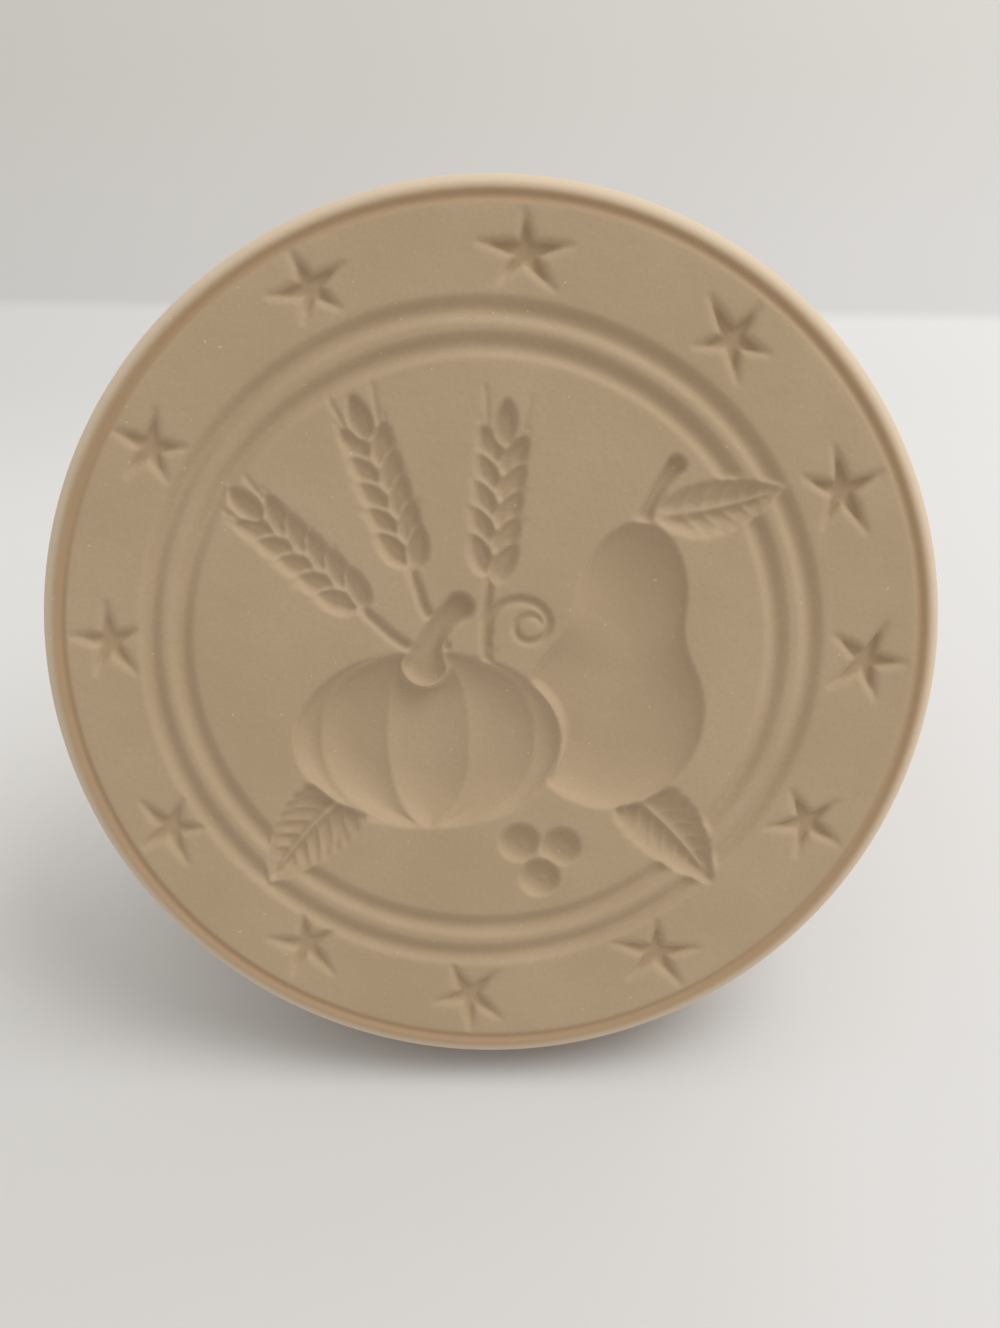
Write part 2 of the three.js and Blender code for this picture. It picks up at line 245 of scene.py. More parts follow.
def oval(x, y, long, wide):
    """About how far inside an oval's outline a point lies."""
    q = np.sqrt((x / long) ** 2 + (y / wide) ** 2) + TINY
    slope = np.sqrt((x / long ** 2) ** 2 + (y / wide ** 2) ** 2) / q + TINY
    return (1 - q) / slope


def melt(a, b, reach):
    """The larger of two distances, with a smooth join."""
    h = np.clip(0.5 + 0.5 * (a - b) / reach, 0, 1)
    return b * (1 - h) + a * h + reach * h * (1 - h)


def limb(u, v, points, radii):
    """How far inside a chain of tapering limbs a point lies."""
    best = np.full(u.shape, -np.inf)
    for (ax, ay), (bx, by), ra, rb in zip(points, points[1:], radii, radii[1:]):
        ex = bx - ax
        ey = by - ay
        t = np.clip(((u - ax) * ex + (v - ay) * ey) / (ex * ex + ey * ey), 0, 1)
        best = np.maximum(best, ra + (rb - ra) * t - np.hypot(u - ax - t * ex, v - ay - t * ey))
    return best


def curve(points, steps):
    """A smooth run of places from the first to the last, pulled towards the middle one."""
    (ax, ay), (bx, by), (cx, cy) = points
    run = []
    for i in range(steps + 1):
        t = i / steps
        a = (1 - t) ** 2
        b = 2 * t * (1 - t)
        c = t * t
        run.append((a * ax + b * bx + c * cx, a * ay + b * by + c * cy))
    return run


class Relief:
    """How deep the face is cut, in millimetres, on a square grid of points."""

    def __init__(self):
        count = round(2 * MAP_HALF / MAP_STEP) + 1
        self.places = np.linspace(-MAP_HALF, MAP_HALF, count)
        self.depth = np.zeros((count, count))

    def near(self, right, up, reach):
        """The part of the grid within reach of a place, and its points."""
        columns = slice(*np.searchsorted(self.places, (right - reach, right + reach)))
        rows = slice(*np.searchsorted(self.places, (up - reach, up + reach)))
        u, v = np.meshgrid(self.places[columns], self.places[rows])
        return (rows, columns), u, v

    def deepen(self, right, up, reach, form, *args):
        """Cuts a form's depth wherever it is deeper than what is there."""
        part, u, v = self.near(right, up, reach)
        self.depth[part] = np.maximum(self.depth[part], form(u, v, *args))

    def lay(self, right, up, reach, rib, form, *args):
        """Cuts a form over what lies behind it, with a line left standing round it."""
        part, u, v = self.near(right, up, reach)
        inside, own = form(u, v, *args)
        behind = self.depth[part] * ramp(0, rib, -inside)
        self.depth[part] = np.where(inside > 0, own, behind)

    def soften(self, passes):
        """Rounds every corner a little, as clay is rounded that left a mould."""
        for _ in range(passes):
            for axis in (0, 1):
                ahead = np.roll(self.depth, 1, axis)
                behind = np.roll(self.depth, -1, axis)
                self.depth = (ahead + 2 * self.depth + behind) / 4

    def at(self, u, v):
        """The depth at any points, between those of the grid."""
        last = len(self.places) - 1 - MAP_NUDGE
        x = np.clip((u + MAP_HALF) / MAP_STEP, 0, last)
        y = np.clip((v + MAP_HALF) / MAP_STEP, 0, last)
        i = x.astype(int)
        j = y.astype(int)
        x = x - i
        y = y - j
        low = self.depth[j, i] * (1 - x) + self.depth[j, i + 1] * x
        high = self.depth[j + 1, i] * (1 - x) + self.depth[j + 1, i + 1] * x
        return low * (1 - y) + high * y


def ring(u, v, right, up, radius, width, depth, flare):
    """A groove with flared shoulders that the hand did not hold quite true."""
    bearing = np.arctan2(v - up, u - right)
    slow = SLOW_WOBBLE * np.sin(SLOW_WAVES * bearing + radius)
    quick = QUICK_WOBBLE * np.sin(QUICK_WAVES * bearing + 2 * radius)
    off = np.hypot(u - right, v - up) - radius - slow - quick
    t = np.clip(off / (width / 2), -1, 1)
    return depth * (0.5 + 0.5 * np.cos(math.pi * t)) ** flare


def star(u, v, right, up, arms):
    """Pointed arms with rounded shoulders, steep walls and a level floor."""
    off = math.atan2(up, right) - math.radians(STAR_DEEPEST)
    depth = STAR_DEPTH * (1 - STAR_SHALLOWER * (1 - math.cos(off)))
    far_off = -1.0
    inside = np.full(u.shape, far_off)
    for turn, reach in arms:
        x, y = turned_to(u, v, right, up, turn)
        y = y + STAR_BOW * math.sin(STAR_BOW_PACE * turn) * x * x
        end = reach + STAR_OVERRUN
        t = np.clip(x / end, 0, 1)
        half = STAR_ARM * (1 - t) ** STAR_TAPER
        past_tip = np.maximum(x - end, 0)
        arm = np.where(x > -STAR_HUB, half - np.hypot(y, past_tip), far_off)
        inside = np.maximum(inside, arm)
    shoulder = STAR_ROUNDING * np.clip(1 + inside / STAR_SHOULDER, 0, 1) ** 2
    return shoulder + (depth - STAR_ROUNDING) * ramp(0, STAR_WALL, inside)


def pumpkin(u, v):
    """A squat gourd: ribs left standing between its lobes, and a dimple round its stem."""
    run = 4.2
    end_fullness = 2.3
    side_fullness = 2.1
    almost_one = 0.9999
    rib_height = 0.34
    rib_sharpness = 0.7
    notch = 0.55
    notch_level = 0.6
    dimple_wide = 3.2
    dimple_tall = 1.7
    dimple_height = 0.35
    x = u - PUMPKIN["right"]
    y = v - PUMPKIN["up"]
    tall = PUMPKIN["tall"]
    wide = PUMPKIN["wide"]
    height = np.abs(y) / tall
    half = wide * (1 - np.clip(height, 0, almost_one) ** end_fullness) ** (1 / side_fullness)
    round_by = np.arcsin(np.clip(x / half, -1, 1)) / math.pi
    lobe = np.abs(np.cos(math.pi * PUMPKIN_LOBES * round_by))
    inside = oval(x, y, wide, tall) + notch * (lobe - notch_level) * ramp(0.5, 1.0, height)
    dimple = np.exp(-((x / dimple_wide) ** 2 + ((y - tall) / dimple_tall) ** 2))
    ribs = 1 - rib_height * (1 - lobe ** rib_sharpness)
    return inside, sunk(inside, PUMPKIN["depth"], run) * ribs * (1 - dimple_height * dimple)


def pear(u, v):
    """Two ovals, body and neck, that melt into each other."""
    join = 2.6
    run = 4.6
    ovals = []
    for part in (PEAR_BODY, PEAR_NECK):
        x, y = turned_to(u, v, part["right"], part["up"], part["turn"])
        ovals.append(oval(x, y, part["long"], part["wide"]))
    inside = melt(*ovals, join)
    return inside, sunk(inside, PEAR_DEPTH, run)


def stem(u, v, points, radii, depth, run):
    """A thick stalk, to be laid over what is behind it."""
    inside = limb(u, v, points, radii)
    return inside, sunk(inside, depth, run)


def tendril(u, v):
    """A thin line that curls up from beside the pumpkin's stem."""
    steps = 33
    depth = 0.5
    run = 0.35
    start = 200
    sweep = 560
    coil = 2.3
    eye = 0.35
    tightening = 0.9
    drift = 1.3
    squash = 0.9
    thick = 0.34
    thinning = 0.19
    points = []
    radii = []
    for i in range(steps + 1):
        t = i / steps
        radius = coil * (1 - t) ** tightening + eye
        a = math.radians(start - sweep * t)
        x = TENDRIL_PLACE[0] + drift * t + radius * math.cos(a)
        y = TENDRIL_PLACE[1] + squash * radius * math.sin(a)
        points.append((x, y))
        radii.append(thick - thinning * t)
    return line(u, v, points, radii, depth, run)


def leaf(u, v, right, up, long, wide, depth, turn, bend):
    """A pointed, toothed leaf with a midrib and slanting veins left standing."""
    run = 1.5
    tooth_size = 0.07
    tooth_pitch = 1.15
    tooth_slant = 0.6
    rib_height = 0.62
    vein_height = 0.30
    vein_width = 0.17
    vein_pitch = 1.5
    vein_slant = 0.85
    pointedness = 0.8
    narrowing = 0.25
    edge_slope = 0.88
    x, y = turned_to(u, v, right, up, turn)
    y = y - bend * x * x
    aside = np.abs(y)
    t = np.clip(x / long, -1, 1)
    tooth = np.abs(np.sin((x - tooth_slant * aside) * math.pi / tooth_pitch))
    half = wide * (1 - t * t) ** pointedness * (1 - narrowing * t) * (1 - tooth_size * tooth)
    past_tip = -np.hypot(np.abs(x) - long, y)
    inside = np.where(np.abs(x) < long, (half - aside) * edge_slope, past_tip)
    rib_width = 0.20 + 0.08 * (1 - t)
    midrib = np.exp(-(y / rib_width) ** 2) * ramp(-1.0, -0.9, t) * ramp(0.98, 0.7, t)
    phase = (x - vein_slant * aside) / vein_pitch
    off = np.abs(phase - np.round(phase)) * vein_pitch
    veins = np.exp(-(off / vein_width) ** 2) * ramp(0.1, 0.5, aside) * ramp(0.1, 0.7, inside)
    own = sunk(inside, depth, run) - depth * (rib_height * midrib + vein_height * veins)
    return inside, np.maximum(own, 0)


def kernel(u, v, right, up, turn):
    """A pointed grain with a crease left standing."""
    run = 0.75
    crease_aside = 0.05
    crease_width = 0.13
    crease_height = 0.22
    pointedness = 0.62
    narrowing = 0.22
    x, y = turned_to(u, v, right, up, turn)
    t = np.clip(x / KERNEL["long"], -1, 1)
    half = KERNEL["wide"] * (1 - t * t) ** pointedness * (1 - narrowing * t)
    past_tip = -np.hypot(np.abs(x) - KERNEL["long"], y)
    inside = np.where(np.abs(x) < KERNEL["long"], half - np.abs(y), past_tip)
    crease = np.exp(-((y + crease_aside) / crease_width) ** 2) * ramp(0.05, 0.4, inside)
    return inside, sunk(inside, KERNEL["depth"], run) - crease_height * crease


def berry(u, v, right, up):
    """A round berry with a small crown left standing."""
    run = 1.5
    crown_right = 0.3
    crown_down = 0.35
    crown_size = 0.06
    crown_height = 0.35
    x = u - right
    y = v - up
    inside = oval(x, y, BERRY_RADIUS, BERRY_RADIUS)
    crown = np.exp(-((x - crown_right) ** 2 + (y + crown_down) ** 2) / crown_size)
    return inside, sunk(inside, BERRY_DEPTH, run) - crown_height * crown


def line(u, v, points, radii, depth, run):
    """A thin groove along a run of places."""
    return sunk(limb(u, v, points, radii), depth, run)


def cut_ear(relief, right, up, turn):
    """A stem, whiskers, pairs of grains laid over each other from the tip down, and a tip grain."""
    a = math.radians(turn)
    ear_reach = 15
    grain_reach = 2.6
    rib = 0.25
    # Each cut is its depth, and how far inside the outline it is reached.
    stalk_radii = [0.42, 0.36, 0.30]
    stalk_cut = (0.55, 0.35)
    whisker_radii = [0.2, 0.09]
    whisker_cut = (0.32, 0.16)

    def along(distance, aside):
        """The place at a distance up the ear and to its side."""
        return (
            right + distance * math.cos(a) - aside * math.sin(a),
            up + distance * math.sin(a) + aside * math.cos(a),
        )

    middle = along(5, 0)
    stalk = [along(-4.5, -0.5), along(-1, 0.05), along(EAR_STEM, 0)]
    relief.deepen(*middle, ear_reach, line, stalk, stalk_radii, *stalk_cut)
    grains = []
    for i in range(EAR_PAIRS):
        for side in (-1, 1):
            distance = EAR_STEM + KERNEL_PITCH * (i + 0.25 + 0.12 * side)
            grains.append((*along(distance, side * KERNEL_OFFSET), turn + side * KERNEL_SPREAD))
            whisker_end = along(distance + 3.6 + 0.25 * i, side * (2.2 - 0.1 * i))
            whisker = [along(distance, side), whisker_end]
            relief.deepen(*middle, ear_reach, line, whisker, whisker_radii, *whisker_cut)
    tip = (*along(EAR_STEM + KERNEL_PITCH * (EAR_PAIRS + 0.35), 0), turn)
    for grain in [*reversed(grains), tip]:
        relief.lay(*grain[:2], grain_reach, rib, kernel, *grain)


def cut_picture(relief):
    """The fruit picture, from what lies at the back to what lies in front."""
    rib = 0.55
    thin_rib = 0.35
    for ear in EARS:
        cut_ear(relief, *ear)
    for one in LEAVES:
        relief.lay(*one[:2], 8, rib, leaf, *one)
    stalk = curve(PEAR_STALK, len(PEAR_STALK_RADII) - 1)
    stalk_shape = (stalk, PEAR_STALK_RADII, PEAR_STALK_DEPTH, 0.6)
    relief.lay(12.7, 12.1, 5, thin_rib, stem, *stalk_shape)
    relief.lay(10, 0, 16, rib, pear)
    relief.deepen(*TENDRIL_PLACE, 4.3, tendril)
    relief.lay(PUMPKIN["right"], PUMPKIN["up"], 14, rib, pumpkin)
    stalk = curve(PUMPKIN_STEM, len(PUMPKIN_STEM_RADII) - 1)
    stalk_shape = (stalk, PUMPKIN_STEM_RADII, PUMPKIN_STEM_DEPTH, 0.9)
    relief.lay(-4, 1, 6, 0.45, stem, *stalk_shape)
    for place in BERRIES:
        relief.lay(*place, 3, 0.4, berry, *place)


def cut_face():
    """The whole face: rings and picture softened more, edge groove and stars less."""
    relief = Relief()
    everywhere = (0, 0, MAP_HALF + MAP_STEP)
    ring_shape = (RING_WIDTH, RING_DEPTH, RING_FLARE)
    for radius in (INNER_RING, OUTER_RING):
        relief.deepen(*everywhere, ring, *RING_MIDDLE, radius, *ring_shape)
    cut_picture(relief)
    relief.soften(SOFTENING - CRISP_SOFTENING)
    edge_shape = (EDGE_RING_WIDTH, EDGE_RING_DEPTH, EDGE_RING_FLARE)
    relief.deepen(*everywhere, ring, 0, 0, EDGE_RING, *edge_shape)
    for one in STARS:
        relief.deepen(*one[:2], 5, star, *one)
    relief.soften(CRISP_SOFTENING)
    return relief


# The head's mesh: a face whose cells are small where the depth bends, and turned sides and back

SIDE_STEPS = 256
TURN_UNITS = 4096
REACH_UNITS = 512
START_SPLITS = 16
CELL_SAMPLES = 5
HUB_RADIUS = 0.5
COARSE = 1.0
FINE = 0.12
BEND_LIMIT = 0.004
# Rows of points on each stretch of the head's side and back.
LIP_ROWS = 12
SIDE_ROWS = 8
BACK_EDGE_ROWS = 14
BACK_ROWS = 11
FILLET_ROWS = 8
BOSS_EDGE_ROWS = 6


def face_place(i, j):
    """The place on the face of a point of the fine polar grid."""
    angle = i * (2 * math.pi / TURN_UNITS)
    radius = HUB_RADIUS + (CREST_RADIUS - HUB_RADIUS) * j / REACH_UNITS
    return radius * np.cos(angle), radius * np.sin(angle)


def bends(samples):
    """How far each cell's square of depths strays from straight lines, along each way."""
    share = np.linspace(0, 1, CELL_SAMPLES)
    straight = samples[:, :1] * (1 - share)[None, :, None] + samples[:, -1:] * share[None, :, None]
    along_turn = np.abs(samples - straight).max(axis=(1, 2))
    straight = samples[:, :, :1] * (1 - share) + samples[:, :, -1:] * share
    along_reach = np.abs(samples - straight).max(axis=(1, 2))
    return along_turn, along_reach


def face_cells(relief):
    """Cells (first and last turn, first and last reach), split until flat enough or small."""
    sector = TURN_UNITS // START_SPLITS
    band = REACH_UNITS // START_SPLITS
    cells = [
        (i, i + sector, j, j + band)
        for i in range(0, TURN_UNITS, sector)
        for j in range(0, REACH_UNITS, band)
    ]
    cells = np.array(cells)
    rim_turn = TURN_UNITS // SIDE_STEPS
    reach_step = (CREST_RADIUS - HUB_RADIUS) / REACH_UNITS
    share = np.linspace(0, 1, CELL_SAMPLES)
    done = []
    while len(cells):
        i0, i1, j0, j1 = cells.T
        i = i0[:, None] + (i1 - i0)[:, None] * share
        j = j0[:, None] + (j1 - j0)[:, None] * share
        i, j = np.broadcast_arrays(i[:, :, None], j[:, None, :])
        turn_bend, reach_bend = bends(relief.at(*face_place(i, j)))
        outer = HUB_RADIUS + reach_step * j1
        wide = (i1 - i0) * outer * 2 * math.pi / TURN_UNITS
        tall = (j1 - j0) * reach_step
        at_rim = j1 == REACH_UNITS
        split_turn = (wide > COARSE) | ((turn_bend > BEND_LIMIT) & (wide > 2 * FINE))
        split_turn = np.where(at_rim, i1 - i0 > rim_turn, split_turn & (i1 - i0 > 1))
        split_reach = (tall > COARSE) | ((reach_bend > BEND_LIMIT) & (tall > 2 * FINE))
        split_reach &= j1 - j0 > 1
        done.append(cells[~split_turn & ~split_reach])
        im = (i0 + i1) // 2
        jm = (j0 + j1) // 2
        both = split_turn & split_reach
        only_turn = split_turn & ~split_reach
        only_reach = split_reach & ~split_turn
        parts = [
            np.stack([i0, im, j0, j1], 1)[only_turn],
            np.stack([im, i1, j0, j1], 1)[only_turn],
            np.stack([i0, i1, j0, jm], 1)[only_reach],
            np.stack([i0, i1, jm, j1], 1)[only_reach],
            np.stack([i0, im, j0, jm], 1)[both],
            np.stack([im, i1, j0, jm], 1)[both],
            np.stack([i0, im, jm, j1], 1)[both],
            np.stack([im, i1, jm, j1], 1)[both],
        ]
        cells = np.concatenate(parts)
    return np.concatenate(done)


def face_mesh(relief):
    """Points and faces of the sunk face, and the indices of the points round its rim and hub."""
    cells = face_cells(relief)
    i0, i1, j0, j1 = cells.T
    i1 = i1 % TURN_UNITS
    corners = np.concatenate([
        np.stack([i0, j0], 1),
        np.stack([i1, j0], 1),
        np.stack([i0, j1], 1),
        np.stack([i1, j1], 1),
    ])
    corners = np.unique(corners, axis=0)
    stride = REACH_UNITS + 1
    by_turn = corners[:, 0] * stride + corners[:, 1]
    order = np.lexsort((corners[:, 0], corners[:, 1]))
    by_reach = corners[order, 1] * TURN_UNITS + corners[order, 0]

    def up_side(turn, low, high):
        """Where the points at one turn lie in their order, from reach low to high."""
        first = np.searchsorted(by_turn, turn * stride + low)
        last = np.searchsorted(by_turn, turn * stride + high)
        return first, last

    def round_side(reach, low, high):
        """Where the points at one reach lie in their order, from turn low to high."""
        first = np.searchsorted(by_reach, reach * TURN_UNITS + low)
        last = np.searchsorted(by_reach, reach * TURN_UNITS + high)
        return first, last

    end = cells[:, 1]
    bottom = round_side(j0, i0, end)
    top = round_side(j1, i0 + 1, end)
    left = up_side(i0, j0 + 1, j1 + 1)
    right = up_side(i1, j0, j1)
    top_right = np.searchsorted(by_turn, i1 * stride + j1)
    u, v = face_place(corners[:, 0], corners[:, 1])
    points = [np.stack([u, v, -relief.at(u, v)], 1)]
    u, v = face_place((i0 + end) / 2, (j0 + j1) / 2)
    centres = np.stack([u, v, -relief.at(u, v)], 1)
    faces = []
    added = []
    for k in range(len(cells)):
        loop = [
            *order[bottom[0][k]:bottom[1][k]],
            *range(right[0][k], right[1][k]),
            top_right[k],
            *order[top[0][k]:top[1][k]][::-1],
            *range(left[1][k] - 1, left[0][k] - 1, -1),
        ]
        loop = [int(n) for n in loop]
        if len(loop) == 4:
            faces.append(loop)
            continue
        centre = len(corners) + len(added)
        added.append(centres[k])
        faces += [(a, b, centre) for a, b in zip(loop, loop[1:] + loop[:1])]
    points.append(np.array(added))
    rim = slice(*round_side(REACH_UNITS, 0, TURN_UNITS))
    hub = slice(*round_side(0, 0, TURN_UNITS))
    return np.concatenate(points), faces, order[rim].tolist(), order[hub].tolist()


def arc(centre_radius, centre_depth, radial, deep, start, end, steps):
    """Points (radius, depth) on an elliptical arc, angles in degrees."""
    angles = np.radians(np.linspace(start, end, steps + 1))
    return [
        (centre_radius + radial * math.cos(a), centre_depth + deep * math.sin(a))
        for a in angles
    ]


def lip():
    """The rounded bevel from the crest to the side."""
    power = 2 / LIP_FULLNESS
    run = []
    for a in np.radians(np.linspace(0, 90, LIP_ROWS + 1)[1:]):
        radius = CREST_RADIUS + LIP_WIDTH * math.sin(a) ** power
        run.append((radius, LIP_DEPTH * (1 - math.cos(a) ** power)))
    return run


def side_profile():
    """The head from its crest round the edge and over the back to the socket's floor."""
    fillet = BOSS_RADIUS + BOSS_FILLET
    edge = BOSS_RADIUS - BOSS_EDGE
    back_edge = DISC_RADIUS - BACK_EDGE_WIDTH
    side_radii = np.linspace(CREST_RADIUS + LIP_WIDTH, DISC_RADIUS, SIDE_ROWS + 1)
    side_depths = np.linspace(LIP_DEPTH, WIDEST_DEPTH, SIDE_ROWS + 1)
    back_radii = np.linspace(back_edge, fillet, BACK_ROWS + 1)
    back_depth = DISC_THICKNESS - WIDEST_DEPTH
    foot = DISC_THICKNESS + BOSS_FILLET
    return [
        *lip(),
        *list(zip(side_radii, side_depths))[1:-1],
        *arc(back_edge, WIDEST_DEPTH, BACK_EDGE_WIDTH, back_depth, 0, 90, BACK_EDGE_ROWS),
        *[(radius, DISC_THICKNESS) for radius in back_radii[1:-1]],
        *arc(fillet, foot, BOSS_FILLET, BOSS_FILLET, 270, 180, FILLET_ROWS),
        *arc(edge, BOSS_TOP - BOSS_EDGE, BOSS_EDGE, BOSS_EDGE, 0, 90, BOSS_EDGE_ROWS),
        (SOCKET_RADIUS + SOCKET_CHAMFER, BOSS_TOP),
        (SOCKET_RADIUS, BOSS_TOP - SOCKET_CHAMFER),
        (SOCKET_RADIUS, SOCKET_FLOOR),
    ]


def turn_rings(profile, steps):
    """Points of rings round the axis, one for each (radius, depth) of a profile."""
    angles = np.arange(steps) * 2 * math.pi / steps
    rings = [
        np.stack([r * np.cos(angles), r * np.sin(angles), np.full(steps, -depth)], 1)
        for r, depth in profile
    ]
    return np.concatenate(rings)


def join_rings(first, second):
    """Faces between two rings of as many points each."""
    steps = len(first)
    return [
        (first[k], second[k], second[(k + 1) % steps], first[(k + 1) % steps])
        for k in range(steps)
    ]


def fan(ring, middle):
    """Faces from a ring of points to a point in its middle."""
    return [(a, middle, b) for a, b in zip(ring, ring[1:] + ring[:1])]


def make_head(material):
    """The clay head as one closed mesh: its sunk face, then the turned edge, back and socket."""
    relief = cut_face()
    points, faces, rim, hub = face_mesh(relief)
    profile = side_profile()
    start = len(points)
    rings = [rim]
    for k in range(len(profile)):
        rings.append(list(range(start + k * SIDE_STEPS, start + (k + 1) * SIDE_STEPS)))
    for first, second in zip(rings, rings[1:]):
        faces += join_rings(first, second)
    middle = start + len(profile) * SIDE_STEPS
    faces += fan(rings[-1], middle)
    faces += fan(hub, middle + 1)
    face_middle = float(relief.at(np.zeros(1), np.zeros(1))[0])
    ends = [(0, 0, -SOCKET_FLOOR), (0, 0, -face_middle)]
    points = np.concatenate([points, turn_rings(profile, SIDE_STEPS), ends])
    head = add_mesh("clay_head", points, faces, material)
    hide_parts("stamp_head")


# Materials


class Nodes:
    """A material's node tree, with short calls to add nodes and links."""

    def __init__(self, name):
        self.material = bpy.data.materials.new(name)
        self.material.use_nodes = True
        self.tree = self.material.node_tree
        self.shader = self.tree.nodes["Principled BSDF"]

    def add(self, kind, inputs=None, **settings):
        """A new node, with its inputs by name or number, and its settings."""
        node = self.tree.nodes.new(kind)
        for key, value in settings.items():
            setattr(node, key, value)
        for key, value in (inputs or {}).items():
            self.set(node, key, value)
        return node

    def set(self, node, key, value):
        """Links an input to another node's output, or gives it a value."""
        if isinstance(value, bpy.types.NodeSocket):
            self.tree.links.new(value, node.inputs[key])
        else:
            node.inputs[key].default_value = value

    def shade(self, **inputs):
        """Sets the shader's inputs, named with _ for each space, and gives the material."""
        for key, value in inputs.items():
            self.set(self.shader, key.replace("_", " "), value)
        return self.material

    def noise(self, place, scale, detail, roughness):
        """Clouds from 0 to 1, as many to a metre as scale says."""
        inputs = {"Vector": place, "Scale": scale, "Detail": detail, "Roughness": roughness}
        return self.add("ShaderNodeTexNoise", inputs).outputs["Fac"]

    def spread(self, value, low, high, out_low=0.0, out_high=1.0):
        """Value from low to high, stretched to out_low to out_high and held there."""
        inputs = {"Value": value, "From Min": low, "From Max": high}
        inputs.update({"To Min": out_low, "To Max": out_high})
        node = self.add("ShaderNodeMapRange", inputs, interpolation_type="SMOOTHSTEP")
        return node.outputs["Result"]

    def product(self, a, b):
        return self.add("ShaderNodeMath", {0: a, 1: b}, operation="MULTIPLY").outputs[0]

    def mix(self, share, a, b):
        """Colour a, with a share of colour b."""
        node = self.add("ShaderNodeMix", {0: share, 6: a, 7: b}, data_type="RGBA")
        return node.outputs[2]

    def bump(self, height, strength, distance, normal=None):
        inputs = {"Height": height, "Strength": strength, "Distance": distance}
        if normal:
            inputs["Normal"] = normal
        return self.add("ShaderNodeBump", inputs).outputs["Normal"]


def rgb(red, green, blue):
    """A colour as it looks, 0 to 255, as the linear one that a shader takes."""
    parts = [c / 255 for c in (red, green, blue)]
    return (*[p / 12.92 if p <= 0.04045 else ((p + 0.055) / 1.055) ** 2.4 for p in parts], 1.0)


def stamp_coordinates(nodes):
    """Places in the stamp's own frame, in metres: right, up, and out of the face."""
    place = nodes.add("ShaderNodeTexCoord").outputs["Object"]
    mapping = nodes.add("ShaderNodeMapping", {"Vector": place}, vector_type="TEXTURE")
    mapping.inputs["Location"].default_value = FACE
    mapping.inputs["Rotation"].default_value = STAMP.to_euler()
    return mapping.outputs["Vector"]


# How strongly painted shade darkens the stars' floors and a painted highlight pales the lip, and
# the heights from which and above which the edge groove's painted shade and the lip's highlight
# show, in millimetres.
STAR_PAINTED_SHADE = 0.45
LIP_PAINTED_HIGHLIGHT = 0.55
PAINTED_FADES = -2.2
PAINTED_FULL = -0.6


def light_and_shade_masks(nodes, place):
    """Three masks: painted shade on the stars' floors and in the edge groove, and a painted
    highlight on the lip.
    """
    flat = nodes.add("ShaderNodeMapping", {"Vector": place, "Scale": (1, 1, 0)}).outputs["Vector"]
    length = nodes.add("ShaderNodeVectorMath", {0: flat}, operation="LENGTH").outputs["Value"]
    height = nodes.add("ShaderNodeSeparateXYZ", {"Vector": place}).outputs["Z"]

    def band(radius, start, full, last, end):
        """1 from full to last and 0 before start and after end, in millimetres from a radius."""
        start, full, last, end = [(radius + off) * MM for off in (start, full, last, end)]
        rise = nodes.spread(length, start, full)
        return nodes.product(rise, nodes.spread(length, last, end, 1.0, 0.0))

    star_band = band(STAR_BAND, -2.7, -2.0, 2.8, 3.2)
    # Painted shade in the stars, strongest on their deep floors.
    deep = nodes.spread(height, -0.55 * MM, -0.15 * MM, STAR_PAINTED_SHADE, 0.0)
    # Painted shade along the edge groove.
    groove = band(EDGE_RING, -0.6, -0.1, 0.3, 0.85)
    # Painted highlight on the lip beyond the crest.
    lip_glow = nodes.spread(length, CREST_RADIUS * MM, (CREST_RADIUS + 0.8) * MM, 0.0, LIP_PAINTED_HIGHLIGHT)
    in_front = nodes.spread(height, PAINTED_FADES * MM, PAINTED_FULL * MM)
    return (
        nodes.product(star_band, deep),
        nodes.product(groove, in_front),
        nodes.product(lip_glow, in_front),
    )


def clay_material():
    """Unglazed tan clay, faintly blotched and speckled, with painted shade in the stars and the
    edge groove and a painted highlight on the lip.
    """
    nodes = Nodes("fired_clay")
    place = stamp_coordinates(nodes)
    clouds = nodes.noise(place, scale=70, detail=3, roughness=0.55)
    grain = nodes.noise(place, scale=2600, detail=3, roughness=0.6)
    specks = nodes.noise(place, scale=1900, detail=1, roughness=0.5)
    waves = nodes.noise(place, scale=420, detail=3, roughness=0.6)
    blotch = nodes.spread(clouds, 0.3, 0.7)
    dark_grain = nodes.spread(grain, 0.3, 0.7, 0.0, 0.22)
    light_specks = nodes.spread(specks, 0.76, 0.80, 0.0, 0.3)
    star_shade, groove_shade, lit_lip = light_and_shade_masks(nodes, place)
    colour = nodes.mix(blotch, rgb(168, 146, 117), rgb(174, 152, 124))
    colour = nodes.mix(dark_grain, colour, rgb(158, 135, 107))
    colour = nodes.mix(light_specks, colour, rgb(222, 208, 184))
    # Painted shade: the stars' floors darkened.
    colour = nodes.mix(star_shade, colour, rgb(160, 134, 103))
    # Painted shade: the edge groove darkened.
    colour = nodes.mix(groove_shade, colour, rgb(162, 135, 104))
    # Painted highlight: the lip paled where it catches the light.
    colour = nodes.mix(lit_lip, colour, rgb(214, 198, 176))
    coarse = nodes.bump(waves, strength=0.10, distance=0.6 * MM)
    fine = nodes.bump(grain, strength=0.12, distance=0.16 * MM, normal=coarse)
    return nodes.shade(
        Base_Color=colour,
        Roughness=0.85,
        Specular_IOR_Level=0.35,
        Sheen_Weight=0.5,
        Sheen_Roughness=0.4,
        Sheen_Tint=rgb(255, 240, 220),
        Normal=fine,
    )


